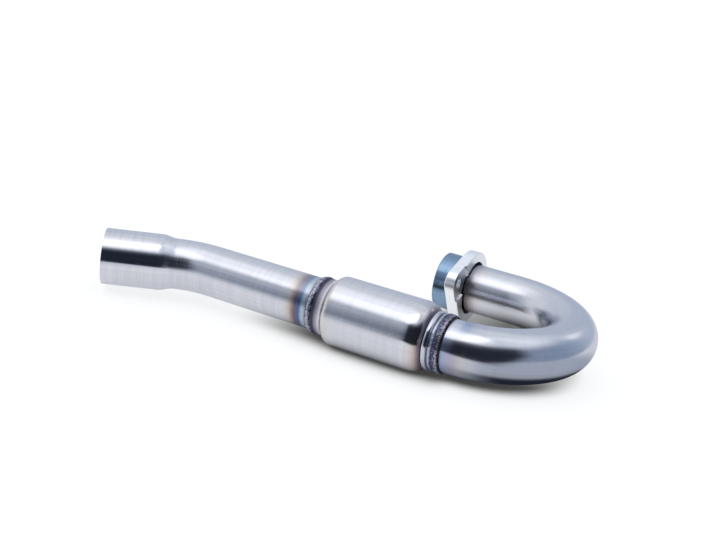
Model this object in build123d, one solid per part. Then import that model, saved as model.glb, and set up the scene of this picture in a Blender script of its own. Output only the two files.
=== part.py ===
from build123d import *
import math
import os

# Exhaust header lying at rest on the floor, in millimetres, with +Z up.
# It is laid out flat first: the front weld's outer toe is at the origin, the legs run along X,
# the U bend is on the +X side and the inlet leg is on the +Y side. Then it is laid on the floor.

# Tube
tube_od = 38.1            # outside diameter of the exhaust tube
tube_wall = 1.2           # wall of the exhaust tube

# U bend and inlet leg
bend_clr = 63.0           # centre-line radius of the U bend
inlet_straight = 35.0     # end of the U bend to the flange's front face

# Loose stud flange
flange_thk = 9.2          # thickness of the flange plate
flange_play = 2.15        # radial play of the flange on the tube
hub_rim = 7.3             # rim of the flange round its bore
stud_reach = 11.3         # edge of the bore to a stud hole's centre
stud_hole_d = 8.5         # clearance hole for an M8 stud
ear_r = 9.5               # radius of an ear round its stud hole
ear_angle = 20.0          # turn of the ears about the inlet leg, in degrees
spot_r = 14.5             # radius of the milled nut seat round a stud hole
spot_depth = 1.2          # depth of the milled nut seat
flange_break = 0.6        # broken edge round the flange

# Port collar
seat_gap = 0.3            # flange's back face to the collar's shoulder
collar_len = 16.0         # length of the collar behind the flange
collar_wall = 3.25        # wall of the collar round the tube
collar_lip = 6.0          # length of the lip that the tube's end stops on
collar_chamfer = 0.8      # lead-in chamfer on the collar's port end
collar_weld_leg = 1.6     # leg of the fillet weld behind the collar

# Resonance chamber
chamber_wall = 1.4        # wall of the spun shell
chamber_swell = 4.9       # rise of the shell over its necks
front_neck = 9.4          # length of the front neck
front_rib_w = 3.6         # width of the rolled rib at the root of the front neck
front_rib_rise = 0.6      # rise of the rolled rib over the neck
front_shoulder = 13.6     # length of the domed front shoulder
front_flare = 55.0        # angle at which the front shoulder leaves its neck, in degrees
chamber_body = 58.0       # length of the straight body
rear_shoulder = 9.7       # length of the rear shoulder
rear_neck = 6.2           # length of the rear neck
front_insert = 6.0        # header pipe inside the front neck
rear_insert = 4.0         # outlet pipe inside the rear neck

# Perforated core inside the chamber
perf_d = 6.0              # diameter of a perforation
perf_rows = 5             # rows along the core
perf_count = 8            # holes in a row

# Weld beads at the necks
front_bead_w = 8.8        # width of the front bead
rear_bead_w = 6.5         # width of the rear bead
bead_crown = 0.9          # rise of a bead over the neck

# Outlet pipe
outlet_run = 94.5         # rear neck's end to the start of the outlet bend
outlet_clr = 57.15        # centre-line radius of the outlet bend
outlet_angle = 29.7       # outlet bend, in degrees
socket_taper = 12.0       # length of the swaged taper
socket_len = 41.4         # length of the slip socket
socket_swell = 2.15       # rise of the socket over the tube

# Fits between joined pieces
slip_gap = 0.05           # radial clearance of a tube in its socket or neck
butt_gap = 0.1            # gap between butted tube ends
weld_gap = 0.02           # gap between a weld and the metal under it

# Values that follow from the sizes above
tube_r = tube_od / 2
bore_r = tube_r - tube_wall
leg_gap = 2 * bend_clr
flange_bore_r = tube_r + flange_play
hub_r = flange_bore_r + hub_rim
stud_pcd = 2 * (flange_bore_r + stud_reach)
flange_back = inlet_straight + flange_thk
collar_start = flange_back + seat_gap
collar_end = collar_start + collar_len
collar_r = tube_r + collar_wall
neck_in_r = tube_r + slip_gap
neck_r = neck_in_r + chamber_wall
chamber_r = neck_r + chamber_swell
front_neck_end = front_bead_w / 2
front_body = front_neck_end + front_neck + front_shoulder
rear_body = front_body + chamber_body
rear_neck_start = rear_body + rear_shoulder
rear_neck_end = rear_neck_start + rear_neck
header_end = front_neck_end + front_insert
outlet_start = rear_neck_end - rear_insert
outlet_bend_start = rear_neck_end + outlet_run
socket_r = tube_r + socket_swell


def spun(outline, along):
    """Revolve an outline of (radius, distance) edges about the z direction of a plane."""
    return along * revolve(Plane.XZ * make_face(outline), Axis.Z)


def tube_section(plane):
    """Ring section of the exhaust tube on a plane."""
    return plane * (Circle(tube_r) - Circle(bore_r))


# Main axis runs rearward from the front weld; inlet axis runs from the end of the U bend to the port
main_axis = Plane(origin=(0, 0, 0), x_dir=(0, 1, 0), z_dir=(-1, 0, 0))
inlet_axis = Plane(origin=(0, leg_gap, 0), x_dir=(0, 1, 0), z_dir=(-1, 0, 0))

# Header pipe: stub in the front neck, U bend and inlet leg
stub = extrude(tube_section(main_axis), header_end)
u_bend = revolve(tube_section(main_axis), Axis((0, bend_clr, 0), (0, 0, 1)), 180)
inlet_leg = extrude(tube_section(inlet_axis), collar_end - collar_lip - butt_gap)
header_pipe = stub + u_bend + inlet_leg

# Port collar: socket for the tube's end, then a lip of the tube's own bore
collar_socket_r = tube_r + slip_gap
collar_outline = Polyline(
    (collar_socket_r, collar_start),
    (collar_r, collar_start),
    (collar_r, collar_end - collar_chamfer),
    (collar_r - collar_chamfer, collar_end),
    (bore_r, collar_end),
    (bore_r, collar_end - collar_lip),
    (collar_socket_r, collar_end - collar_lip),
    close=True,
)
port_collar = spun(collar_outline, inlet_axis)

# Fillet weld that holds the collar on the tube, inside the flange's bore
weld_in_r = tube_r + weld_gap
weld_end = collar_start - weld_gap
collar_weld_outline = Polyline(
    (weld_in_r, weld_end),
    (weld_in_r + collar_weld_leg, weld_end),
    (weld_in_r, weld_end - collar_weld_leg),
    close=True,
)
collar_weld = spun(collar_weld_outline, inlet_axis)

# Loose stud flange: hub and two ears joined by straight flanks
stud_offset = stud_pcd / 2
flank = math.acos((hub_r - ear_r) / stud_offset)
flank_hub = (hub_r * math.cos(flank), hub_r * math.sin(flank))
flank_ear = (stud_offset + ear_r * math.cos(flank), ear_r * math.sin(flank))
half_web = make_face(
    Polyline(
        flank_hub,
        flank_ear,
        (flank_ear[0], -flank_ear[1]),
        (flank_hub[0], -flank_hub[1]),
        close=True,
    )
)
ears = Locations((stud_offset, 0), (-stud_offset, 0)).locations
flange_face = Circle(hub_r) + half_web + Rot(0, 0, 180) * half_web
for ear in ears:
    flange_face += ear * Circle(ear_r)
flange_plane = Plane(origin=(0, 0, inlet_straight), z_dir=(0, 0, 1)).rotated((0, 0, ear_angle))
plate = extrude(flange_face, flange_thk)
plate_faces = plate.faces().sort_by(Axis.Z)
plate = chamfer(plate_faces[0].edges() + plate_faces[-1].edges(), flange_break)
for ear in ears:
    plate -= ear * Cylinder(spot_r, spot_depth, align=(Align.CENTER, Align.CENTER, Align.MIN))
    plate -= ear * Cylinder(stud_hole_d / 2, flange_thk, align=(Align.CENTER, Align.CENTER, Align.MIN))
plate -= Cylinder(flange_bore_r, flange_thk, align=(Align.CENTER, Align.CENTER, Align.MIN))
stud_flange = inlet_axis * (flange_plane * plate)

# Resonance chamber: necks, rolled rib, shoulders and straight body in one spun shell
front_rise = front_neck_end + front_neck
rib_start = front_rise - front_rib_w
rib_mid = front_rise - front_rib_w / 2
flare_rad = math.radians(front_flare)
flare = (math.sin(flare_rad), math.cos(flare_rad))
inner_rise = front_rise + chamber_wall * math.tan(flare_rad / 2)


def shoulders(neck, body, rise):
    """Edges along the shell from the foot of the domed front shoulder to the end of the rear neck."""
    return [
        Spline((neck, rise), (body, front_body), tangents=[flare, (0, 1)]),
        Line((body, front_body), (body, rear_body)),
        Spline((body, rear_body), (neck, rear_neck_start), tangents=[(0, 1), (0, 1)]),
        Line((neck, rear_neck_start), (neck, rear_neck_end)),
    ]


shell_outline = [
    Line((neck_in_r, front_neck_end), (neck_r, front_neck_end)),
    Line((neck_r, front_neck_end), (neck_r, rib_start)),
    ThreePointArc((neck_r, rib_start), (neck_r + front_rib_rise, rib_mid), (neck_r, front_rise)),
    *shoulders(neck_r, chamber_r, front_rise),
    Line((neck_r, rear_neck_end), (neck_in_r, rear_neck_end)),
    *shoulders(neck_in_r, chamber_r - chamber_wall, inner_rise),
    Line((neck_in_r, front_neck_end), (neck_in_r, inner_rise)),
]
chamber_shell = spun(shell_outline, main_axis)

# Perforated core between the two pipes' ends
core_start = header_end + butt_gap
core_end = outlet_start - butt_gap
core_blank = extrude(Circle(tube_r) - Circle(bore_r), core_end - core_start)
perf_pitch = chamber_body / perf_rows
perf_first = front_body + perf_pitch / 2 - core_start
for row in range(perf_rows):
    for hole in range(perf_count):
        turn = 360 / perf_count * (hole + row % 2 / 2)
        drill = Cylinder(perf_d / 2, tube_od, align=(Align.CENTER, Align.CENTER, Align.MIN))
        core_blank -= Pos(0, 0, perf_first + row * perf_pitch) * Rot(0, 0, turn) * Rot(0, 90, 0) * drill
core_tube = main_axis * (Pos(0, 0, core_start) * core_blank)


def neck_bead(neck_end, width, side):
    """Weld bead over a neck's end: side is 1 where the neck lies further along the axis, else -1."""
    toe = neck_end - side * width / 2
    heel = neck_end + side * width / 2
    step = neck_end - side * weld_gap
    low = tube_r + weld_gap
    high = neck_r + weld_gap
    return spun(
        [
            ThreePointArc((low, toe), (neck_r + bead_crown, neck_end), (high, heel)),
            Line((high, heel), (high, step)),
            Line((high, step), (low, step)),
            Line((low, step), (low, toe)),
        ],
        main_axis,
    )


front_weld_bead = neck_bead(front_neck_end, front_bead_w, 1)
rear_weld_bead = neck_bead(rear_neck_end, rear_bead_w, -1)

# Outlet pipe: straight run, outlet bend, swaged taper and slip socket
outlet_from = Plane(origin=(-outlet_start, 0, 0), x_dir=(0, 1, 0), z_dir=(-1, 0, 0))
outlet_turn = Plane(origin=(-outlet_bend_start, 0, 0), x_dir=(0, 1, 0), z_dir=(-1, 0, 0))
outlet_straight = extrude(tube_section(outlet_from), outlet_bend_start - outlet_start)
outlet_bend = revolve(
    tube_section(outlet_turn),
    Axis((-outlet_bend_start, -outlet_clr, 0), (0, 0, 1)),
    outlet_angle,
)
turn_rad = math.radians(outlet_angle)
bend_end = (
    -outlet_bend_start - outlet_clr * math.sin(turn_rad),
    -outlet_clr * (1 - math.cos(turn_rad)),
    0,
)
socket_axis = Plane(origin=bend_end, z_dir=(-math.cos(turn_rad), -math.sin(turn_rad), 0))
socket_end = socket_taper + socket_len
socket_outline = [
    Spline((tube_r, 0), (socket_r, socket_taper), tangents=[(0, 1), (0, 1)]),
    Line((socket_r, socket_taper), (socket_r, socket_end)),
    Line((socket_r, socket_end), (socket_r - tube_wall, socket_end)),
    Line((socket_r - tube_wall, socket_end), (socket_r - tube_wall, socket_taper)),
    Spline((bore_r, 0), (socket_r - tube_wall, socket_taper), tangents=[(0, 1), (0, 1)]),
    Line((bore_r, 0), (tube_r, 0)),
]
outlet_pipe = outlet_straight + outlet_bend + spun(socket_outline, socket_axis)

# Laid on the floor: the chamber's body and the flange's hub touch it, and the box is centred on the origin
pieces = {
    "header_pipe": header_pipe,
    "port_collar": port_collar,
    "collar_weld": collar_weld,
    "stud_flange": stud_flange,
    "chamber_shell": chamber_shell,
    "core_tube": core_tube,
    "front_weld_bead": front_weld_bead,
    "rear_weld_bead": rear_weld_bead,
    "outlet_pipe": outlet_pipe,
}
lay = math.degrees(math.asin((hub_r - chamber_r) / leg_gap))
laid = {name: Rot(lay, 0, 0) * piece for name, piece in pieces.items()}
boxes = [piece.bounding_box() for piece in laid.values()]
mid_x = (min(box.min.X for box in boxes) + max(box.max.X for box in boxes)) / 2
mid_y = (min(box.min.Y for box in boxes) + max(box.max.Y for box in boxes)) / 2
floor_z = min(box.min.Z for box in boxes)
centred = Pos(-mid_x, -mid_y, -floor_z)

os.makedirs("parts", exist_ok=True)
for name, piece in laid.items():
    export_step(centred * piece, f"parts/{name}.step")
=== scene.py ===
"""Looks of a motorcycle exhaust header: finishes for its solids, rippled weld beads and a plain studio."""

import math

import bpy
from bpy.props import FloatProperty, FloatVectorProperty, IntProperty, PointerProperty
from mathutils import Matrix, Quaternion, Vector


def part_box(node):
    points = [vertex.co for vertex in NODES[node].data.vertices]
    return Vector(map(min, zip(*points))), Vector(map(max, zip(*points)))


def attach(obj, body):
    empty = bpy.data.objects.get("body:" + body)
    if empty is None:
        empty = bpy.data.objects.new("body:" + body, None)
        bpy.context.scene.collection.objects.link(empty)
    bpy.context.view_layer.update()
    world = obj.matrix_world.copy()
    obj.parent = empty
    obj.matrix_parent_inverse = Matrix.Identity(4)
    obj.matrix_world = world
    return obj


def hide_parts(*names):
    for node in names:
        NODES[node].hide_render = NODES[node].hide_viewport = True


bl_info = {
    "name": "Exhaust header looks",
    "version": (1, 0, 0),
    "blender": (4, 5, 0),
    "location": "View3D > Sidebar > Exhaust",
    "description": "Finishes, weld beads and studio for an exhaust header",
    "category": "Object",
}

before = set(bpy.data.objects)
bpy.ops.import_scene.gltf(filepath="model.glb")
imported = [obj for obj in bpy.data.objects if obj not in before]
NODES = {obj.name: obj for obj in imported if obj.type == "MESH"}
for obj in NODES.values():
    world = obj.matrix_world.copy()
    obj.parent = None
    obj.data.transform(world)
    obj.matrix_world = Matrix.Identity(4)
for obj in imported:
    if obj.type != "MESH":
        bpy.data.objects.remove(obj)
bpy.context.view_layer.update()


def middle(node):
    """Middle of a solid's box."""
    low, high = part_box(node)
    return (low + high) / 2


MM = 0.001
DEGREES = 180 / math.pi
WHITE = (1.0, 1.0, 1.0, 1.0)
EDGE_TINT = (0.78, 0.80, 0.84, 1.0)

# Places and sizes of the solids, in metres
MAIN = middle("front_weld_bead")
INLET = middle("port_collar")
FRONT_TOE_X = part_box("front_weld_bead")[1].x
FRONT_HEEL_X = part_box("front_weld_bead")[0].x
REAR_TOE_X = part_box("rear_weld_bead")[0].x
REAR_HEEL_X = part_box("rear_weld_bead")[1].x
BEND_Y = (MAIN.y + INLET.y) / 2
BEND_R = 63 * MM
OUTLET_BEND_BACK = 195.8 * MM
OUTLET_BEND_X = FRONT_TOE_X - OUTLET_BEND_BACK
OUTLET_R = 57.15 * MM
OUTLET_TURN = math.radians(29.7)
OUTLET_BEND_LENGTH = OUTLET_TURN * OUTLET_R
OUTLET_END = Vector((
    OUTLET_BEND_X - OUTLET_R * math.sin(OUTLET_TURN),
    MAIN.y - OUTLET_R * (1 - math.cos(OUTLET_TURN)),
    MAIN.z,
))
LEG_RISE = (INLET.z - MAIN.z) / (INLET.y - MAIN.y)
TUBE_R = 19.05 * MM
HALF_WALL = 0.6 * MM
SOCKET_SWELL = 2.15 * MM
SOCKET_TAPER = 12 * MM
FLANGE_FACE_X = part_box("stud_flange")[1].x

# Weld beads: the ripples' top, how far they reach across, and the ring that fills the bead under them
BEAD_TOP_R = 21.1 * MM
RIPPLE_SPAN = 0.86
RING_SPAN = 0.93
RING_R = TUBE_R + 0.35 * MM
RING_HALF = 1.25 * MM


class Wire:
    """A node's output, on which shader maths is written as Python."""

    def __init__(self, shader, node, output):
        self.shader = shader
        self.node = node
        self.output = output

    @property
    def socket(self):
        return self.node.outputs[self.output]

    def other(self, output):
        """Another output of the same node."""
        return Wire(self.shader, self.node, output)

    def math(self, operation, *values):
        sockets = dict(enumerate((self, *values)))
        return self.shader.add("ShaderNodeMath", {"operation": operation}, sockets)

    def __add__(self, value):
        return self.math("ADD", value)

    __radd__ = __add__

    def __sub__(self, value):
        return self.math("SUBTRACT", value)

    def __rsub__(self, value):
        return self.shader.add("ShaderNodeMath", {"operation": "SUBTRACT"}, {0: value, 1: self})

    def __mul__(self, value):
        return self.math("MULTIPLY", value)

    def __truediv__(self, value):
        return self.math("DIVIDE", value)

    def __neg__(self):
        return self.math("MULTIPLY", -1.0)

    def __abs__(self):
        return self.math("ABSOLUTE")

    def __gt__(self, value):
        return self.math("GREATER_THAN", value)

    def __lt__(self, value):
        return self.math("LESS_THAN", value)


class Shader:
    """Adds nodes to one material's or world's tree."""

    def __init__(self, tree):
        self.tree = tree
        self.tree.nodes.clear()

    def add(self, kind, settings=None, sockets=None, output=0):
        """One node: its settings first, then the values or links of its sockets."""
        node = self.tree.nodes.new(kind)
        for name, value in (settings or {}).items():
            if name == "stops":
                set_stops(node.color_ramp, value)
            else:
                setattr(node, name, value)
        for key, value in (sockets or {}).items():
            if isinstance(value, Wire):
                self.tree.links.new(value.socket, node.inputs[key])
            else:
                node.inputs[key].default_value = value
        return Wire(self, node, output)

    def place(self):
        """The x, y and z of a point on the piece, in metres."""
        at = self.add("ShaderNodeTexCoord", output="Object")
        apart = self.add("ShaderNodeSeparateXYZ", None, {0: at})
        return apart.other("X"), apart.other("Y"), apart.other("Z")

    def vector(self, x, y, z):
        return self.add("ShaderNodeCombineXYZ", None, {0: x, 1: y, 2: z})

    def noise(self, vector, scale, detail=2.0, roughness=0.5):
        """Noise between 0 and 1."""
        sockets = {"Vector": vector, "Scale": scale, "Detail": detail, "Roughness": roughness}
        return self.add("ShaderNodeTexNoise", None, sockets, "Fac")

    def step(self, value, low, high):
        """Smooth step of a value from low, where it is 0, to high, where it is 1."""
        sockets = {"Value": value, "From Min": low, "From Max": high}
        return self.add("ShaderNodeMapRange", {"interpolation_type": "SMOOTHSTEP"}, sockets)

    def within(self, value, rise, fall):
        """1 inside a range with soft edges, which are steps as (from, to)."""
        return self.step(value, *rise) * self.step(value, *fall)

    def ramp(self, value, stops):
        return self.add("ShaderNodeValToRGB", {"stops": stops}, {"Fac": value})

    def mix(self, share, a, b, blend="MIX"):
        """Mix of two colours."""
        settings = {"data_type": "RGBA", "blend_type": blend}
        return self.add("ShaderNodeMix", settings, {0: share, 6: a, 7: b}, 2)

    def grey(self, value):
        """A value as a colour."""
        return self.add("ShaderNodeCombineColor", None, {0: value, 1: value, 2: value})

    def arctan2(self, a, b):
        return self.add("ShaderNodeMath", {"operation": "ARCTAN2"}, {0: a, 1: b})

    def bump(self, height, depth):
        """Bump of a height between 0 and 1 times a depth in metres."""
        return self.add("ShaderNodeBump", None, {"Height": height, "Strength": 1.0, "Distance": depth})

    def surface(self, shader):
        self.add("ShaderNodeOutputMaterial", None, {"Surface": shader})


def set_stops(ramp, stops):
    """Give a colour ramp its (place, colour) stops."""
    while len(ramp.elements) > 1:
        ramp.elements.remove(ramp.elements[-1])
    for index, (place, colour) in enumerate(stops):
        element = ramp.elements[0] if index == 0 else ramp.elements.new(place)
        element.position = place
        element.color = (*colour, 1.0)


def new_material(name):
    """An empty material and the shader that fills it."""
    material = bpy.data.materials.new(name)
    material.use_nodes = True
    return material, Shader(material.node_tree)


def dress(node, material):
    """Give a solid one finish all over."""
    slots = NODES[node].data.materials
    slots.clear()
    slots.append(material)


def metal(shader, colour, roughness, normal):
    """Bare metal with a varying colour, roughness and fine relief."""
    sockets = {
        "Base Color": colour,
        "Metallic": 1.0,
        "Roughness": roughness,
        "Normal": normal,
        "Specular Tint": EDGE_TINT,
    }
    shader.surface(shader.add("ShaderNodeBsdfPrincipled", None, sockets))


# Where finishes change as (from, to), and how far tints drift: over the floor, along a tube or from an end
# Next, the height over which heat tints fade towards the top of a tube, which is a painted highlight
HIGHLIGHT_FADE_Z = (31 * MM, 40 * MM)
CROWN_Z = (38 * MM, 43 * MM)
HEADER_SATIN = (40 * MM, 120 * MM)
SOCKET_POLISH = (-4 * MM, 16 * MM)
FRONT_POLISH = (29 * MM, 17 * MM)
REAR_FOOT = (14 * MM, 7 * MM)
TUBE_DRIFT = 2.4 * MM
SHELL_DRIFT = 2.0 * MM
FACE_EDGE = (0.5 * MM, 0.15 * MM)

# Lines in the metals: contrast of their noise, and the lines drawn along the tubes
CONTRAST = (0.3, 0.7)
DRAWN_ROUND = 11.0
DRAWN_PER_M = 6.0


def header_run(shader, x, y):
    """Distance along the header pipe from the front weld, round the U bend and up the inlet leg."""
    over = x - FRONT_TOE_X
    side = y - BEND_Y
    on_bend = over > 0.0
    on_main = side < 0.0
    arc = shader.arctan2(over, -side) * BEND_R
    leg = on_main * over + (1 - on_main) * (math.pi * BEND_R - over)
    return on_bend * arc + (1 - on_bend) * leg


def round_bend(shader, x, y):
    """Distance from the U bend's middle line, between the legs, and turn round the bend in degrees."""
    over = x - FRONT_TOE_X
    side = y - BEND_Y
    past = over.math("MAXIMUM", 0.0)
    return (past * past + side * side).math("SQRT"), shader.arctan2(over, -side) * DEGREES


def outlet_run(shader, x, y):
    """Distance along the outlet pipe from the start of its bend, below 0 before it, and distance across."""
    over = OUTLET_BEND_X - x
    side = y - (MAIN.y - OUTLET_R)
    past = over.math("MAXIMUM", 0.0)
    cos_t = math.cos(OUTLET_TURN)
    sin_t = math.sin(OUTLET_TURN)
    along = (x - OUTLET_END.x) * -cos_t + (y - OUTLET_END.y) * -sin_t
    on_bend = over > 0.0
    on_socket = along > 0.0
    turned = shader.arctan2(over, side) * OUTLET_R
    bent = (1 - on_socket) * turned + on_socket * (along + OUTLET_BEND_LENGTH)
    across = (past * past + side * side).math("SQRT") - OUTLET_R
    off = (x - OUTLET_END.x) * -sin_t + (y - OUTLET_END.y) * cos_t
    return on_bend * bent + (1 - on_bend) * over, (1 - on_socket) * across + on_socket * off


def blend(share, low, high):
    """A value that goes from low to high as a share goes from 0 to 1."""
    return low + share * (high - low)


def lines(shader, vector):
    """Fine noise in a vector that is already scaled."""
    return shader.noise(vector, scale=1.0, detail=3.0, roughness=0.6)


def streaks(shader, along, y, z, lines_per_m, across_per_m):
    """Fine polishing lines round a tube, between 0 and 1."""
    vector = shader.vector(along * lines_per_m, y * across_per_m, z * across_per_m)
    return shader.step(lines(shader, vector), *CONTRAST)


def off_plane(y, z):
    """Height over the plane that the header's centre line lies in."""
    return z - MAIN.z - (y - MAIN.y) * LEG_RISE


def reach(across, height):
    """Distance from a tube's centre line."""
    return (across * across + height * height).math("SQRT").math("MAXIMUM", 0.1 * MM)


def drawn_lines(shader, along, across, height):
    """Faint lines along a tube, between 0 and 1, from the place across its section."""
    out = reach(across, height)
    vector = shader.vector(
        across / out * DRAWN_ROUND, height / out * DRAWN_ROUND, along * DRAWN_PER_M)
    return shader.step(lines(shader, vector), *CONTRAST)


def brushed_steel(shader, along, section, place, tint, roughness, brushing, bore, finish):
    """Polished stainless steel with lines round and along the tube, a heat tint, and a dull bore."""
    x, y, z = place
    fine = streaks(shader, along, y, z, lines_per_m=1700.0, across_per_m=30.0)
    broad = streaks(shader, along, y, z, lines_per_m=260.0, across_per_m=18.0)
    drawn = drawn_lines(shader, along, *section)
    cloud = shader.noise(shader.vector(x, y, z), scale=38.0, detail=3.0, roughness=0.55)
    inside = reach(*section) < bore
    brushed = ((fine - 0.5) * 0.10 + (broad - 0.5) * 0.08 + (drawn - 0.5) * 0.12) * brushing
    shade = brushed + cloud * 0.05 + 0.99
    colour = shader.mix(1.0, (*finish.steel_colour, 1.0), shader.grey(shade), "MULTIPLY")
    colour = shader.mix(1.0, colour, tint, "MULTIPLY")
    colour = shader.mix(inside, colour, (*finish.bore_colour, 1.0))
    polished = roughness + (fine + drawn - 1) * (brushing * 0.06)
    rough = blend(inside, polished, finish.bore_roughness) + (cloud - 0.5) * 0.08
    relief = shader.bump(fine * 0.6 + broad * 0.4, finish.line_depth * brushing)
    metal(shader, colour, rough, relief)


def tint_faded_in_highlight(shader, tint, z, share):
    """A tint that is fainter, by a share, on the upper side of the tube: a painted highlight, as if the light
    from above washed the tint out.
    """
    return shader.mix(shader.step(z, *HIGHLIGHT_FADE_Z) * share, tint, WHITE)


def wobble(shader, place, size):
    """A slow drift of a tint's edge round the tube, in metres."""
    return (shader.noise(shader.vector(*place), scale=55.0) - 0.5) * size


# Heat tints by distance in millimetres from a weld's edge or the flange's face, as factors on the steel; some
# also carry painted shade, highlight or reflection, as noted at each
OUTLET_TINT = (
    (0.0, (0.36, 0.36, 0.42)),
    (0.9, (0.56, 0.57, 0.60)),
    (2.2, (0.68, 0.78, 0.80)),
    (3.6, (0.50, 0.68, 0.82)),
    (4.6, (0.26, 0.38, 0.56)),
    (5.6, (0.15, 0.21, 0.35)),
    (7.2, (0.22, 0.22, 0.34)),
    (8.8, (0.25, 0.19, 0.25)),
    (10.4, (0.41, 0.31, 0.31)),
    (12.0, (0.64, 0.51, 0.44)),
    (13.6, (0.84, 0.74, 0.62)),
    (15.4, (0.96, 0.90, 0.82)),
    (20.0, (1.00, 1.00, 1.00)),
)
HEADER_TINT = (
    (0.0, (0.34, 0.36, 0.44)),
    (0.8, (0.46, 0.54, 0.74)),
    (2.2, (0.58, 0.60, 0.76)),
    (4.0, (0.62, 0.60, 0.73)),
    (6.0, (0.64, 0.60, 0.70)),
    (8.4, (0.77, 0.70, 0.74)),
    (10.4, (0.90, 0.83, 0.81)),
    (12.4, (0.97, 0.92, 0.90)),
    (16.0, (1.00, 1.00, 0.98)),
    (22.0, (1.00, 1.00, 1.00)),
)
HEADER_TOP_TINT = (
    (0.0, (0.50, 0.50, 0.55)),
    (1.6, (0.96, 0.97, 1.00)),
    (5.0, (0.90, 0.94, 1.00)),
    (7.5, (0.68, 0.76, 0.90)),
    (10.5, (0.62, 0.70, 0.86)),
    (13.5, (0.80, 0.82, 0.88)),
    (18.0, (0.95, 0.93, 0.95)),
    (24.0, (1.00, 1.00, 1.00)),
)
# Brown tint beside the flange's face: partly heat tint, and partly a painted reflection of the flange's
# shaded face in the polished pipe
INLET_TINT_AND_REFLECTION = (
    (-1.0, (0.30, 0.25, 0.23)),
    (3.0, (0.38, 0.32, 0.30)),
    (6.0, (0.60, 0.53, 0.50)),
    (9.5, (0.90, 0.85, 0.82)),
    (14.0, (1.00, 1.00, 1.00)),
)
# Heat oxide by the front weld with painted light in it: the darkest bands are painted shade in the grooves
# beside the ring, and the dark band from 4.8 to 7 mm is a painted reflection of the dark card on the steep
# shoulder
FRONT_NECK_TINT_AND_PAINTED_DARK = (
    (-2.2, (0.08, 0.08, 0.11)),
    (-1.6, (0.66, 0.70, 0.80)),
    (-0.6, (0.66, 0.70, 0.80)),
    (0.0, (0.12, 0.12, 0.15)),
    (1.2, (0.22, 0.22, 0.26)),
    (1.8, (0.86, 0.88, 0.93)),
    (4.2, (0.88, 0.89, 0.93)),
    (4.8, (0.26, 0.22, 0.25)),
    (5.8, (0.28, 0.24, 0.27)),
    (7.0, (0.56, 0.50, 0.51)),
    (9.0, (0.92, 0.90, 0.90)),
    (12.0, (1.00, 1.00, 1.00)),
)
FRONT_SHELL_TINT = (
    (5.0, (1.00, 1.00, 1.00)),
    (6.4, (0.88, 0.78, 0.74)),
    (8.5, (0.90, 0.76, 0.68)),
    (10.5, (0.95, 0.87, 0.78)),
    (13.0, (0.98, 0.94, 0.88)),
    (17.0, (1.00, 1.00, 1.00)),
)
# Heat tint by the rear weld; the factors above 1, from 5.2 to 7.8 mm, are a painted highlight on the rear
# shoulder
REAR_SHELL_TINT_AND_HIGHLIGHT = (
    (-0.6, (0.10, 0.10, 0.14)),
    (0.7, (0.14, 0.13, 0.18)),
    (1.5, (0.42, 0.38, 0.44)),
    (2.8, (0.60, 0.54, 0.60)),
    (4.2, (0.78, 0.72, 0.76)),
    (5.2, (1.30, 1.22, 1.20)),
    (6.6, (1.42, 1.34, 1.30)),
    (7.8, (1.02, 0.96, 0.91)),
    (9.0, (1.00, 0.95, 0.87)),
    (15.0, (1.00, 0.99, 0.96)),
    (20.0, (1.00, 1.00, 1.00)),
)


def heat_tint(shader, distance, stops):
    """Colours of heated steel, with any painted light in the table, by distance in metres from where the heat
    was.
    """
    first = stops[0][0]
    length = stops[-1][0] - first
    scaled = [((place - first) / length, colour) for place, colour in stops]
    return shader.ramp((distance / MM - first) / length, scaled)


class FinishSettings(bpy.types.PropertyGroup):
    """Colours and roughness of the header's metals."""

    steel_colour: FloatVectorProperty(
        name="Steel", description="Colour of the stainless steel", subtype="COLOR",
        default=(0.59, 0.60, 0.655), min=0, max=1)
    header_roughness: FloatProperty(
        name="Header roughness", description="Roughness of the header pipe", default=0.17, min=0, max=1)
    outlet_roughness: FloatProperty(
        name="Outlet roughness", description="Roughness of the outlet pipe's run", default=0.24, min=0, max=1)
    socket_roughness: FloatProperty(
        name="Socket roughness", description="Roughness of the polished socket", default=0.10, min=0, max=1)
    chamber_roughness: FloatProperty(
        name="Chamber roughness", description="Roughness of the chamber's shell", default=0.25, min=0, max=1)
    bore_colour: FloatVectorProperty(
        name="Bore", description="Colour of the unpolished inside of the tubes", subtype="COLOR",
        default=(0.42, 0.42, 0.43), min=0, max=1)
    bore_roughness: FloatProperty(
        name="Bore roughness", description="Roughness inside the tubes", default=0.55, min=0, max=1)
    line_depth: FloatProperty(
        name="Line depth", description="Depth of the polishing lines", unit="LENGTH",
        default=0.000007, precision=7)
    # Colour of the bright flecks on the welds, partly bare metal and partly painted glint
    weld_fleck_and_glint_colour: FloatVectorProperty(
        name="Weld", description="Colour of the weld metal", subtype="COLOR",
        default=(0.62, 0.64, 0.73), min=0, max=1)
    zinc_colour: FloatVectorProperty(
        name="Zinc", description="Colour of the collar's zinc plating", subtype="COLOR",
        default=(0.20, 0.30, 0.43), min=0, max=1)
    spot_colour: FloatVectorProperty(
        name="Spots", description="Colour of dark spots in the zinc", subtype="COLOR",
        default=(0.10, 0.13, 0.20), min=0, max=1)
    aluminium_colour: FloatVectorProperty(
        name="Aluminium", description="Colour of the milled flange", subtype="COLOR",
        default=(0.90, 0.92, 0.95), min=0, max=1)


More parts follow.
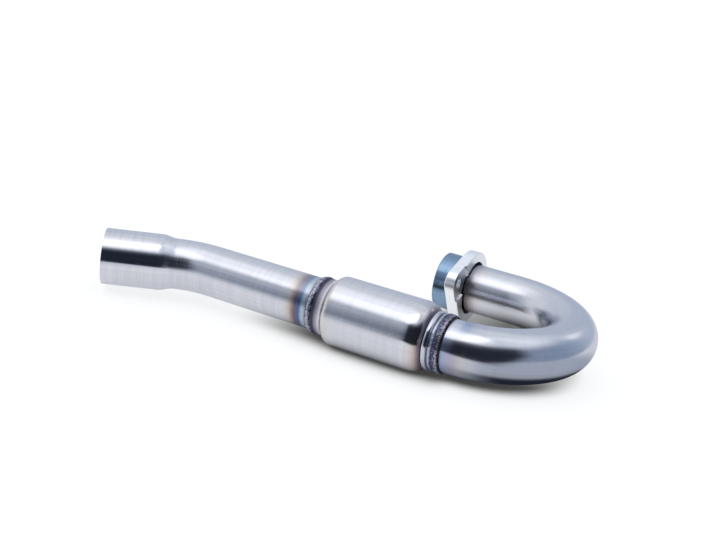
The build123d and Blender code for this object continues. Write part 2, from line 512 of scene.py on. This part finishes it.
class BeadSettings(bpy.types.PropertyGroup):
    """Sizes of the rippled weld beads."""

    ripples: IntProperty(
        name="Ripples", description="Ripples round one bead", default=84, min=12, max=120)
    ripple_length: FloatProperty(
        name="Ripple length", description="Length of a ripple round the tube", unit="LENGTH",
        default=2.5 * MM)
    ripple_height: FloatProperty(
        name="Ripple height", description="Height of a ripple", unit="LENGTH", default=2.3 * MM)
    ripple_lean: FloatProperty(
        name="Ripple lean", description="Lean of a ripple over the one before", subtype="ANGLE",
        default=math.radians(24))
    grain: FloatProperty(
        name="Grain", description="Unevenness of the weld pool", unit="LENGTH", default=0.12 * MM)
    voxel: FloatProperty(
        name="Voxel", description="Size of the voxels that fuse the ripples", unit="LENGTH",
        default=0.3 * MM)


class StageSettings(bpy.types.PropertyGroup):
    """Floor, light and camera."""

    floor_colour: FloatVectorProperty(
        name="Floor", description="Colour of the floor", subtype="COLOR",
        default=(0.24, 0.24, 0.24), min=0, max=1)
    floor_glow: FloatProperty(
        name="Floor glow", description="What brings the lit floor up to white", default=0.82, min=0, max=1)
    contact: FloatProperty(
        name="Contact shadow", description="Reach of the shadow close under the header", unit="LENGTH",
        default=60 * MM)
    card_colour: FloatVectorProperty(
        name="Dark card", description="Colour of the dark card in front", subtype="COLOR",
        default=(0.022, 0.027, 0.042), min=0, max=1)
    sheet_colour: FloatVectorProperty(
        name="Grey sheet", description="Colour of the sheets right and left", subtype="COLOR",
        default=(0.42, 0.48, 0.58), min=0, max=1)
    softbox_colour: FloatVectorProperty(
        name="Softbox", description="Light of the softbox", subtype="COLOR",
        default=(1.78, 1.80, 1.82), min=0)
    ceiling_colour: FloatVectorProperty(
        name="Ceiling", description="Light bounced off the ceiling", subtype="COLOR",
        default=(1.33, 1.35, 1.39), min=0)
    target: FloatVectorProperty(
        name="Target", description="Point that the camera looks at", subtype="TRANSLATION",
        default=(-0.00661, 0.00084, 0.04011))
    distance: FloatProperty(
        name="Distance", description="Camera to target", unit="LENGTH", default=0.848)
    azimuth: FloatProperty(
        name="Azimuth", description="Turn of the camera round the header", subtype="ANGLE",
        default=math.radians(25.124))
    elevation: FloatProperty(
        name="Elevation", description="Height of the camera over the horizon", subtype="ANGLE",
        default=math.radians(17.084))
    roll: FloatProperty(
        name="Roll", description="Turn of the camera about its own axis", subtype="ANGLE",
        default=math.radians(8.527))
    lens: FloatProperty(
        name="Lens", description="Focal length in millimetres on a 36 mm frame", default=56.54)


class ExhaustTubes(bpy.types.Operator):
    """Finish the header pipe, the outlet pipe and the core inside the chamber"""

    bl_idname = "exhaust.tubes"
    bl_label = "Tubes"

    def execute(self, context):
        finish = context.scene.exhaust_finish
        self.header(finish)
        self.outlet(finish)
        self.core(finish)
        return {"FINISHED"}

    def header(self, finish):
        """Polished pipe with a faint tint past the front weld, faded on top as a painted highlight, and a
        brown tint beside the flange that is partly heat tint and partly painted reflection of the flange.
        """
        material, shader = new_material("header_steel")
        place = shader.place()
        x, y, z = place
        run = header_run(shader, x, y)
        from_toe = run + wobble(shader, place, TUBE_DRIFT)
        # The header's tint fades on its upper side as a painted highlight
        tint = tint_faded_in_highlight(shader, heat_tint(shader, from_toe, HEADER_TINT), z, share=0.85)
        above = heat_tint(shader, from_toe, HEADER_TOP_TINT)
        tint = shader.mix(shader.step(z, *CROWN_Z), tint, above)
        # Brown tint beside the flange, partly heat tint and partly painted reflection of the flange, faded on
        # top as a painted highlight
        inlet = heat_tint(shader, x - FLANGE_FACE_X, INLET_TINT_AND_REFLECTION)
        tint = shader.mix(y > BEND_Y, tint, tint_faded_in_highlight(shader, inlet, z, share=0.5))
        rough = finish.header_roughness + shader.step(run, *HEADER_SATIN) * 0.08
        section = (round_bend(shader, x, y)[0] - BEND_R, off_plane(y, z))
        brushed_steel(
            shader, run, section, place, tint, rough, brushing=0.4, bore=TUBE_R - HALF_WALL, finish=finish)
        dress("header_pipe", material)

    def outlet(self, finish):
        """Satin run with strong heat colours past the rear weld, and a polished socket."""
        material, shader = new_material("outlet_steel")
        place = shader.place()
        x, y, z = place
        run, across = outlet_run(shader, x, y)
        from_toe = REAR_TOE_X - x + wobble(shader, place, TUBE_DRIFT)
        # The outlet's tint fades a little on its upper side as a painted highlight
        tint = tint_faded_in_highlight(shader, heat_tint(shader, from_toe, OUTLET_TINT), z, share=0.3)
        past_bend = run - OUTLET_BEND_LENGTH
        polish = shader.step(past_bend, *SOCKET_POLISH)
        rough = blend(polish, finish.outlet_roughness, finish.socket_roughness)
        swell = shader.step(past_bend, 0.0, SOCKET_TAPER) * SOCKET_SWELL
        section = (across, off_plane(y, z))
        brushed_steel(
            shader, run, section, place, tint, rough, brushing=0.75,
            bore=swell + (TUBE_R - HALF_WALL), finish=finish)
        dress("outlet_pipe", material)

    def core(self, finish):
        """Untinted steel inside the chamber."""
        material, shader = new_material("core_steel")
        place = shader.place()
        x, y, z = place
        section = (y - MAIN.y, z - MAIN.z)
        brushed_steel(
            shader, x, section, place, WHITE, finish.outlet_roughness, brushing=0.75, bore=0.0, finish=finish)
        dress("core_tube", material)


class ExhaustChamber(bpy.types.Operator):
    """Finish the resonance chamber's spun shell"""

    bl_idname = "exhaust.chamber"
    bl_label = "Chamber"

    def execute(self, context):
        finish = context.scene.exhaust_finish
        material, shader = new_material("chamber_steel")
        place = shader.place()
        x, y, z = place
        drift = wobble(shader, place, SHELL_DRIFT)
        from_front = FRONT_HEEL_X - x + drift
        # The neck's tint carries painted shade in its grooves and a painted dark reflection on the shoulder
        neck = heat_tint(shader, from_front, FRONT_NECK_TINT_AND_PAINTED_DARK)
        front = heat_tint(shader, from_front, FRONT_SHELL_TINT)
        # The rear tint carries a painted highlight on the shoulder
        rear = heat_tint(shader, x - REAR_HEEL_X + drift, REAR_SHELL_TINT_AND_HIGHLIGHT)
        # The front shell's warm tint fades on its upper side as a painted highlight
        tint = shader.mix(1.0, neck, tint_faded_in_highlight(shader, front, z, share=0.8), "MULTIPLY")
        tint = shader.mix(1.0, tint, rear, "MULTIPLY")
        low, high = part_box("chamber_shell")
        polish = shader.step(high.x - x, *FRONT_POLISH)
        foot = shader.step(x - low.x, *REAR_FOOT)
        smear = shader.noise(shader.vector(x * 0.25, y, z), scale=70.0, detail=4.0, roughness=0.6)
        rough = blend(polish, finish.chamber_roughness, finish.socket_roughness)
        rough = rough + foot * 0.25 + (smear - 0.5) * 0.08
        section = (y - MAIN.y, z - MAIN.z)
        brushed_steel(shader, x, section, place, tint, rough, brushing=0.6, bore=0.0, finish=finish)
        dress("chamber_shell", material)
        return {"FINISHED"}


# Oxide across a weld bead, from the shell's edge at 0 to the tube's edge at 1, with painted light: the
# near-black ends are painted shade in the grooves at the bead's edges, and the lighter bands are painted
# highlights on its rib and crest
FRONT_OXIDE_AND_PAINTED_LIGHT = (
    (0.00, (0.05, 0.05, 0.07)),
    (0.07, (0.32, 0.36, 0.44)),
    (0.20, (0.34, 0.37, 0.46)),
    (0.29, (0.06, 0.07, 0.13)),
    (0.58, (0.055, 0.06, 0.12)),
    (0.68, (0.25, 0.24, 0.31)),
    (0.77, (0.24, 0.22, 0.28)),
    (0.86, (0.03, 0.025, 0.035)),
    (1.00, (0.025, 0.02, 0.03)),
)
REAR_OXIDE_AND_PAINTED_LIGHT = (
    (0.00, (0.03, 0.03, 0.05)),
    (0.26, (0.045, 0.05, 0.085)),
    (0.40, (0.15, 0.16, 0.22)),
    (0.62, (0.30, 0.32, 0.40)),
    (0.80, (0.20, 0.21, 0.27)),
    (0.90, (0.03, 0.03, 0.04)),
    (1.00, (0.025, 0.025, 0.035)),
)

# A bead's crest, where bright flecks gather that are partly bare metal and partly painted glints, as shares
# across it
CREST_AT = 0.62
CREST_EDGE = (0.30, 0.14)


def weld_material(finish, name, heel_x, toe_x, bands, shine):
    """Weld metal: dark blue oxide in bands across the bead, with painted shade and highlights in the bands,
    and bright streaks along its crest that are partly bare metal and partly painted glints.
    """
    material, shader = new_material(name)
    x, y, z = shader.place()
    at = shader.vector(x, y, z)
    share = (x - heel_x) / (toe_x - heel_x)
    crest = shader.step(abs(share - CREST_AT), *CREST_EDGE)
    streak = shader.noise(shader.vector(x * 2.0, y, z), scale=480.0, detail=3.0, roughness=0.65)
    # Bright flecks: bare weld metal, painted brighter as glints where the ripples catch the light
    fleck_glint = shader.step(streak, 0.50, 0.66) * (crest * 0.8 + 0.2) * shine
    oxide = shader.step(shader.noise(at, scale=520.0, detail=3.0, roughness=0.6), *CONTRAST)
    dark = shader.mix(1.0, shader.ramp(share, bands), shader.grey(oxide * 1.1 + 0.45), "MULTIPLY")
    colour = shader.mix(fleck_glint, dark, (*finish.weld_fleck_and_glint_colour, 1.0))
    rough = 0.36 - fleck_glint * 0.16
    relief = shader.bump(shader.noise(at, scale=1100.0, detail=3.0), depth=0.04 * MM)
    metal(shader, colour, rough, relief)
    return material


class ExhaustWelds(bpy.types.Operator):
    """Model the two rippled neck welds and finish them and the collar's weld"""

    bl_idname = "exhaust.welds"
    bl_label = "Welds"

    def execute(self, context):
        bead = context.scene.exhaust_bead
        finish = context.scene.exhaust_finish
        front = weld_material(
            finish, "front_weld_metal", FRONT_HEEL_X, FRONT_TOE_X, FRONT_OXIDE_AND_PAINTED_LIGHT, shine=0.5)
        rear = weld_material(
            finish, "rear_weld_metal", REAR_HEEL_X, REAR_TOE_X, REAR_OXIDE_AND_PAINTED_LIGHT, shine=1.0)
        collar_low, collar_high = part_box("collar_weld")
        collar = weld_material(
            finish, "collar_weld_metal", collar_low.x, collar_high.x, REAR_OXIDE_AND_PAINTED_LIGHT, shine=1.0)
        for name, material, seed in (("front_weld", front, 3), ("rear_weld", rear, 8)):
            node = name + "_bead"
            piece = self.model(context, bead, name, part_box(node), seed)
            piece.data.materials.append(material)
            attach(piece, "header")
            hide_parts(node)
        dress("collar_weld", collar)
        return {"FINISHED"}

    def model(self, context, bead, name, box, seed):
        """Ripples leaning on each other round a ring, fused and smoothed into one bead."""
        low, high = box
        centre = (low + high) / 2
        half = (high.x - low.x) / 2
        rise = bead.ripple_height / 2
        bpy.ops.object.select_all(action="DESELECT")
        bpy.ops.mesh.primitive_uv_sphere_add(
            segments=20, ring_count=12, radius=1.0,
            location=(centre.x, centre.y, centre.z + BEAD_TOP_R - rise),
            rotation=(bead.ripple_lean, 0, 0),
            scale=(half * RIPPLE_SPAN, bead.ripple_length / 2, rise))
        piece = context.object
        bpy.ops.object.transform_apply(location=True, rotation=True, scale=True)
        bpy.ops.object.mode_set(mode="EDIT")
        bpy.ops.mesh.select_all(action="SELECT")
        bpy.ops.mesh.spin(
            steps=bead.ripples - 1, dupli=True, angle=math.tau * (bead.ripples - 1) / bead.ripples,
            center=centre, axis=(1, 0, 0))
        bpy.ops.mesh.select_all(action="SELECT")
        bpy.ops.transform.vertex_random(offset=bead.grain, uniform=0.3, normal=0.5, seed=seed)
        bpy.ops.mesh.select_all(action="DESELECT")
        bpy.ops.mesh.primitive_torus_add(
            major_segments=180, minor_segments=16, major_radius=RING_R, minor_radius=RING_HALF,
            location=centre, rotation=(0, math.pi / 2, 0))
        bpy.ops.transform.resize(value=(half * RING_SPAN / RING_HALF, 1, 1), center_override=centre)
        bpy.ops.object.mode_set(mode="OBJECT")
        self.fuse(piece, bead.voxel)
        piece.name = name
        return piece

    def fuse(self, piece, voxel):
        """Join all that overlaps into one skin, and soften it."""
        bpy.ops.object.modifier_add(type="REMESH")
        remesh = piece.modifiers[-1]
        remesh.mode = "VOXEL"
        remesh.voxel_size = voxel
        bpy.ops.object.modifier_apply(modifier=remesh.name)
        bpy.ops.object.modifier_add(type="SMOOTH")
        smooth = piece.modifiers[-1]
        smooth.factor = 0.5
        smooth.iterations = 2
        bpy.ops.object.modifier_apply(modifier=smooth.name)
        bpy.ops.object.shade_smooth()


class ExhaustCollar(bpy.types.Operator):
    """Finish the zinc-plated port collar"""

    bl_idname = "exhaust.collar"
    bl_label = "Port collar"

    def execute(self, context):
        finish = context.scene.exhaust_finish
        material, shader = new_material("collar_zinc")
        x, y, z = shader.place()
        at = shader.vector(x, y, z)
        turned = streaks(shader, x, y, z, lines_per_m=2600.0, across_per_m=20.0)
        cloud = shader.noise(at, scale=85.0, detail=4.0, roughness=0.6)
        shade = 0.84 + turned * 0.14 + cloud * 0.18
        colour = shader.mix(1.0, (*finish.zinc_colour, 1.0), shader.grey(shade), "MULTIPLY")
        spot = shader.step(shader.noise(at, scale=230.0), 0.66, 0.72)
        colour = shader.mix(spot * 0.5, colour, (*finish.spot_colour, 1.0))
        inside = reach(y - INLET.y, z - INLET.z) < TUBE_R - HALF_WALL
        colour = shader.mix(inside, colour, (*finish.bore_colour, 1.0))
        polished = 0.13 + cloud * 0.12 + spot * 0.15
        rough = blend(inside, polished, finish.bore_roughness)
        metal(shader, colour, rough, shader.bump(turned, depth=0.006 * MM))
        dress("port_collar", material)
        return {"FINISHED"}


class ExhaustFlange(bpy.types.Operator):
    """Finish the loose milled flange"""

    bl_idname = "exhaust.flange"
    bl_label = "Stud flange"

    def execute(self, context):
        finish = context.scene.exhaust_finish
        material, shader = new_material("flange_aluminium")
        x, y, z = shader.place()
        at = shader.vector(x, y, z)
        rim_lines = lines(shader, shader.vector(x * 60.0, y * 900.0, z * 900.0))
        face_lines = lines(shader, shader.vector(x * 900.0, y * 1400.0, z * 90.0))
        low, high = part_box("stud_flange")
        half = (high.x - low.x) / 2
        on_face = shader.step(half - abs(x - (low.x + half)), *FACE_EDGE)
        milled = blend(on_face, rim_lines, face_lines)
        cloud = shader.noise(at, scale=120.0, detail=3.0, roughness=0.55)
        shade = 0.86 + milled * 0.16 + cloud * 0.06 - on_face * 0.1
        colour = shader.mix(1.0, (*finish.aluminium_colour, 1.0), shader.grey(shade), "MULTIPLY")
        rough = 0.26 + milled * 0.14 + cloud * 0.06
        metal(shader, colour, rough, shader.bump(milled, depth=0.018 * MM))
        dress("stud_flange", material)
        return {"FINISHED"}


def bearing(shader, x, y, z):
    """Azimuth from the front towards the right, and elevation, of a direction, in degrees."""
    flat = (x * x + y * y).math("SQRT")
    return shader.arctan2(x, -y) * DEGREES, shader.arctan2(z, flat) * DEGREES


# Light of the studio by azimuth in degrees: near the horizon and overhead
BELT = (
    (-180, (0.67, 0.74, 0.85)),
    (-164, (0.69, 0.75, 0.85)),
    (-150, (0.81, 0.86, 0.93)),
    (-120, (0.78, 0.83, 0.91)),
    (-92, (0.93, 0.97, 1.00)),
    (-62, (0.97, 0.98, 1.00)),
    (-45, (0.62, 0.68, 0.75)),
    (-35, (0.38, 0.43, 0.51)),
    (-24, (0.27, 0.31, 0.38)),
    (-8, (0.27, 0.31, 0.38)),
    (58, (0.32, 0.38, 0.49)),
    (112, (0.31, 0.39, 0.53)),
    (135, (0.44, 0.54, 0.68)),
    (155, (0.67, 0.74, 0.85)),
    (180, (0.67, 0.74, 0.85)),
)
OVERHEAD = (
    (-180, (0.72, 0.76, 0.80)),
    (-90, (0.84, 0.86, 0.88)),
    (0, (0.84, 0.86, 0.88)),
    (20, (0.78, 0.80, 0.84)),
    (48, (0.66, 0.71, 0.78)),
    (90, (0.80, 0.84, 0.90)),
    (125, (0.94, 0.96, 1.00)),
    (150, (0.82, 0.86, 0.92)),
    (180, (0.72, 0.76, 0.80)),
)

# Soft edges of the floor's shadow, each from where it starts to where it is full, in metres
LEG_SHADE_X = ((50 * MM, 115 * MM), (165 * MM, 140 * MM))
LEG_SHADE_Y = ((0.0, 25 * MM), (140 * MM, 115 * MM))
PAST_BEND_X = (92 * MM, 108 * MM)
PAST_BEND_AWAY = (58 * MM, 80 * MM)
BETWEEN_LEGS_Y = (-30 * MM, 10 * MM)
OUTLET_SIDE_X = (0.0, -78 * MM)

# The floor's shadow: where it is taken from, how near is dark, its depth and where it is lighter
SHADOW_FROM = (-0.2, -0.8, 0.56)
SHADOW_NEAR = (0.45, 1.0)
SHADOW_DEPTH = 0.94
LEG_SHADE = 0.2
BETWEEN_LIGHT = 0.38
OUTLET_LIGHT = 0.96

# The dark card: soft edges in degrees, its cut lower corner and its rise to the right
CARD_LEFT = (-24.0, -4.0)
CARD_RIGHT = (78.0, 57.0)
CARD_TOP = (58.0, 34.0)
CARD_CORNER_UP = 24.0
CARD_CORNER_SLANT = 0.6
CARD_RISE_ROUND = (10.0, 40.0)
CARD_RISE = 3.0

# Its foot in front and under the bend, and the grey sheets: soft edges in metres or degrees, and shares
FOOT_SLANT = 0.9
FOOT_NEAR = (220 * MM, 305 * MM)
FOOT_RIGHT = (64.0, 46.0)
RIGHT_SHEET_AWAY = (66 * MM, 96 * MM)
RIGHT_SHEET_TURN = ((-5.0, 30.0), (135.0, 105.0))
RIGHT_SHEET_SHARE = 0.85
LEFT_SHEET_NEAR = (140 * MM, 300 * MM)
LEFT_SHEET_ROUND = ((-75.0, -45.0), (20.0, 0.0))
LEFT_SHEET_SHARE = 0.8
# The dark under the bend and the grey sheet on the right stand in, as painted shadow, for the bend's shadow
# on the floor that the metal reflects
UNDER_BEND_OFF = (34 * MM, 14 * MM)
UNDER_BEND_X = (70 * MM, 140 * MM)
UNDER_BEND_TURN = ((-100.0, -85.0), (130.0, 95.0))

# The studio's light: soft edges in degrees, the softbox's slanting end and the window's middle
HAZE_AT = -27.0
HAZE_ROUND = (24.0, 10.0)
HAZE_UP = (13.0, 29.0)
OVERHEAD_UP = (38.0, 65.0)
CEILING_ROUND = ((-130.0, -95.0), (44.0, 8.0))
CEILING_UP = (46.0, 60.0)
SOFTBOX_LEFT = (-70.0, -50.0)
SOFTBOX_RIGHT = (-2.0, -16.0)
SOFTBOX_UP = (40.0, 49.0)
SOFTBOX_CORNER_UP = 48.0
SOFTBOX_SLANT = 1.8
WINDOW_AT = (154.0, 35.0)
WINDOW_ROUND = (13.0, 3.0)
WINDOW_UP = (10.0, 2.0)

# Light of the haze, and what the light overhead is multiplied by
HAZE_LIGHT = (0.56, 0.61, 0.68, 1.0)
OVERHEAD_GAIN = (1.25, 1.25, 1.25, 1.0)

# Sizes of the stage, in metres
FLOOR_R = 30.0
CARD_R = 2.5
CARD_FOOT_Z = 4 * MM
FLAP_R = 2.49
FLAP_Z = 3 * MM


def by_azimuth(shader, azimuth, stops):
    """Light by azimuth, all the way round."""
    scaled = [((place + 180) / 360, colour) for place, colour in stops]
    return shader.ramp((azimuth + 180) / 360, scaled)


class ExhaustStage(bpy.types.Operator):
    """Lay the floor, light the studio and set up the camera"""

    bl_idname = "exhaust.stage"
    bl_label = "Stage"

    def execute(self, context):
        stage = context.scene.exhaust_stage
        self.floor(context, stage)
        self.card(context, stage)
        self.flap(context, stage)
        self.light(context, stage)
        self.camera(context, stage)
        context.scene.view_settings.view_transform = "Standard"
        return {"FINISHED"}

    def floor(self, context, stage):
        """White floor that keeps the shadow: its glow fades where the header is close in front or above."""
        bpy.ops.object.select_all(action="DESELECT")
        bpy.ops.mesh.primitive_circle_add(vertices=128, radius=FLOOR_R, fill_type="NGON")
        floor = context.object
        floor.name = "floor"
        material, shader = new_material("floor_white")
        x, y = shader.place()[:2]
        close = {"Distance": stage.contact, "Normal": shader.vector(*SHADOW_FROM)}
        near = shader.add("ShaderNodeAmbientOcclusion", {"samples": 16}, close, "AO")
        away = round_bend(shader, x, y)[0]
        under_leg = shader.within(x, *LEG_SHADE_X) * shader.within(y, *LEG_SHADE_Y)
        past_bend = shader.step(x, *PAST_BEND_X) * shader.step(away, *PAST_BEND_AWAY) * (1 - under_leg)
        between = shader.step(y, *BETWEEN_LEGS_Y) * (1 - under_leg)
        outlet_side = shader.step(x, *OUTLET_SIDE_X)
        dark = (1 - past_bend) * (1 - between * BETWEEN_LIGHT) * (1 - outlet_side * OUTLET_LIGHT)
        shadow = 1 - shader.step(near - under_leg * LEG_SHADE, *SHADOW_NEAR)
        lit = 1 - shadow * dark * SHADOW_DEPTH
        colour = shader.mix(1.0, (*stage.floor_colour, 1.0), shader.grey(lit), "MULTIPLY")
        matt = {"Base Color": colour, "Roughness": 1.0, "Specular IOR Level": 0.0}
        paint = shader.add("ShaderNodeBsdfPrincipled", None, matt)
        path = shader.add("ShaderNodeLightPath")
        seen = path.other("Is Camera Ray") + path.other("Is Glossy Ray") + path.other("Is Transmission Ray")
        white = shader.grey((seen > 0.5) * lit * stage.floor_glow)
        glow = shader.add("ShaderNodeEmission", None, {"Color": white, "Strength": 1.0})
        shader.surface(shader.add("ShaderNodeAddShader", None, {0: paint, 1: glow}))
        floor.data.materials.append(material)

    def card(self, context, stage):
        """Dark card behind the camera, with soft edges, that only the metal sees."""
        bpy.ops.object.select_all(action="DESELECT")
        bpy.ops.mesh.primitive_uv_sphere_add(segments=72, ring_count=36, radius=CARD_R)
        card = context.object
        card.name = "dark_card"
        bpy.ops.object.mode_set(mode="EDIT")
        bpy.ops.mesh.select_all(action="SELECT")
        for normal in ((0, 0, 1), (0, -1, 0)):
            bpy.ops.mesh.bisect(
                plane_co=(0, 0, CARD_FOOT_Z), plane_no=normal, clear_inner=True, use_fill=False)
            bpy.ops.mesh.select_all(action="SELECT")
        bpy.ops.object.mode_set(mode="OBJECT")
        material, shader = new_material("card_black")
        azimuth, elevation = bearing(shader, *shader.place())
        corner = azimuth + (CARD_CORNER_UP - elevation).math("MAXIMUM", 0.0) * CARD_CORNER_SLANT
        across = shader.step(azimuth, *CARD_LEFT) * shader.step(corner, *CARD_RIGHT)
        rise = shader.step(azimuth, *CARD_RISE_ROUND) * CARD_RISE
        top = shader.step(elevation - rise, *CARD_TOP)
        self.screen(card, material, shader, across * top, (*stage.card_colour, 1.0))

    def flap(self, context, stage):
        """The dark card's foot along the floor, a dark patch under the bend that is painted shadow of the
        floor seen in the metal, and grey sheets right and left, the right one partly painted shadow of the
        bend on the floor.
        """
        bpy.ops.object.select_all(action="DESELECT")
        bpy.ops.mesh.primitive_circle_add(
            vertices=96, radius=FLAP_R, fill_type="NGON", location=(0, 0, FLAP_Z))
        flap = context.object
        flap.name = "dark_flap"
        bpy.ops.object.transform_apply(location=True, rotation=True, scale=True)
        material, shader = new_material("flap_black")
        x, y, z = shader.place()
        azimuth = bearing(shader, x, y, z)[0]
        away, turn = round_bend(shader, x, y)
        foot = shader.step(x * FOOT_SLANT - y, *FOOT_NEAR) * shader.within(azimuth, CARD_LEFT, FOOT_RIGHT)
        # Painted shadow: the floor's shade under the bend, as the bend's underside reflects it
        under = shader.step(abs(away - BEND_R), *UNDER_BEND_OFF) * shader.step(x, *UNDER_BEND_X)
        dark = foot.math("MAXIMUM", under * shader.within(turn, *UNDER_BEND_TURN))
        colour = shader.mix(dark, (*stage.sheet_colour, 1.0), (*stage.card_colour, 1.0))
        # The right sheet is partly painted shadow of the bend on the floor and partly the blue-grey room
        right = shader.step(away, *RIGHT_SHEET_AWAY) * shader.within(turn, *RIGHT_SHEET_TURN)
        left = shader.step(-y, *LEFT_SHEET_NEAR) * shader.within(azimuth, *LEFT_SHEET_ROUND)
        mask = dark.math("MAXIMUM", right * RIGHT_SHEET_SHARE)
        mask = mask.math("MAXIMUM", left * LEFT_SHEET_SHARE)
        self.screen(flap, material, shader, mask, colour)

    def screen(self, screen, material, shader, mask, colour):
        """A screen that only the metal's reflections see, clear outside its mask."""
        clear = shader.add("ShaderNodeBsdfTransparent")
        shade = shader.add("ShaderNodeEmission", None, {"Color": colour, "Strength": 1.0})
        shader.surface(shader.add("ShaderNodeMixShader", None, {0: mask, 1: clear, 2: shade}))
        screen.data.materials.append(material)
        screen.visible_camera = False
        screen.visible_diffuse = False
        screen.visible_shadow = False

    def light(self, context, stage):
        """Pale studio all round, with a large softbox over the left front and a window behind."""
        world = bpy.data.worlds.new("studio")
        world.use_nodes = True
        shader = Shader(world.node_tree)
        at = shader.add("ShaderNodeTexCoord", output="Generated")
        apart = shader.add("ShaderNodeSeparateXYZ", None, {0: at})
        azimuth, elevation = bearing(shader, apart.other("X"), apart.other("Y"), apart.other("Z"))
        belt = by_azimuth(shader, azimuth, BELT)
        haze = shader.step(abs(azimuth - HAZE_AT), *HAZE_ROUND) * shader.step(elevation, *HAZE_UP)
        belt = shader.mix(haze, belt, HAZE_LIGHT)
        overhead = by_azimuth(shader, azimuth, OVERHEAD)
        overhead = shader.mix(1.0, overhead, OVERHEAD_GAIN, "MULTIPLY")
        colour = shader.mix(shader.step(elevation, *OVERHEAD_UP), belt, overhead)
        ceiling = shader.within(azimuth, *CEILING_ROUND) * shader.step(elevation, *CEILING_UP)
        colour = shader.mix(ceiling, colour, (*stage.ceiling_colour, 1.0))
        right_edge = azimuth - (elevation - SOFTBOX_CORNER_UP) * SOFTBOX_SLANT
        softbox = shader.step(azimuth, *SOFTBOX_LEFT) * shader.step(right_edge, *SOFTBOX_RIGHT)
        softbox = softbox * shader.step(elevation, *SOFTBOX_UP)
        colour = shader.mix(softbox, colour, (*stage.softbox_colour, 1.0))
        across = shader.step(abs(azimuth - WINDOW_AT[0]), *WINDOW_ROUND)
        window = across * shader.step(abs(elevation - WINDOW_AT[1]), *WINDOW_UP)
        colour = shader.mix(window, colour, (*stage.ceiling_colour, 1.0))
        glow = shader.add("ShaderNodeBackground", None, {"Color": colour, "Strength": 1.0})
        shader.add("ShaderNodeOutputWorld", None, {"Surface": glow})
        context.scene.world = world

    def camera(self, context, stage):
        """Camera at the photograph's angle, rolled as the header is seen there."""
        cos_e = math.cos(stage.elevation)
        back = Vector((
            math.sin(stage.azimuth) * cos_e, -math.cos(stage.azimuth) * cos_e, math.sin(stage.elevation)))
        data = bpy.data.cameras.new("camera")
        data.lens = stage.lens
        data.sensor_width = 36.0
        data.clip_start = 0.01
        camera = bpy.data.objects.new("camera", data)
        camera.location = Vector(stage.target) + back * stage.distance
        camera.rotation_mode = "QUATERNION"
        camera.rotation_quaternion = (-back).to_track_quat("-Z", "Y") @ Quaternion((0, 0, 1), stage.roll)
        context.scene.collection.objects.link(camera)
        context.scene.camera = camera


STEPS = (ExhaustTubes, ExhaustChamber, ExhaustWelds, ExhaustCollar, ExhaustFlange, ExhaustStage)


class ExhaustPanel(bpy.types.Panel):
    """Lists the header's settings and steps"""

    bl_idname = "VIEW3D_PT_exhaust"
    bl_label = "Exhaust header"
    bl_space_type = "VIEW_3D"
    bl_region_type = "UI"
    bl_category = "Exhaust"

    def draw(self, context):
        scene = context.scene
        for settings in (scene.exhaust_finish, scene.exhaust_bead, scene.exhaust_stage):
            box = self.layout.box()
            for name in settings.__annotations__:
                box.prop(settings, name)
        for step in STEPS:
            self.layout.operator(step.bl_idname)


CLASSES = (FinishSettings, BeadSettings, StageSettings, *STEPS, ExhaustPanel)


def register():
    for each in CLASSES:
        bpy.utils.register_class(each)
    bpy.types.Scene.exhaust_finish = PointerProperty(type=FinishSettings)
    bpy.types.Scene.exhaust_bead = PointerProperty(type=BeadSettings)
    bpy.types.Scene.exhaust_stage = PointerProperty(type=StageSettings)


def unregister():
    del bpy.types.Scene.exhaust_stage
    del bpy.types.Scene.exhaust_bead
    del bpy.types.Scene.exhaust_finish
    for each in reversed(CLASSES):
        bpy.utils.unregister_class(each)


def main():
    register()
    bpy.ops.exhaust.tubes()
    bpy.ops.exhaust.chamber()
    bpy.ops.exhaust.welds()
    bpy.ops.exhaust.collar()
    bpy.ops.exhaust.flange()
    bpy.ops.exhaust.stage()


if __name__ == "__main__":
    main()
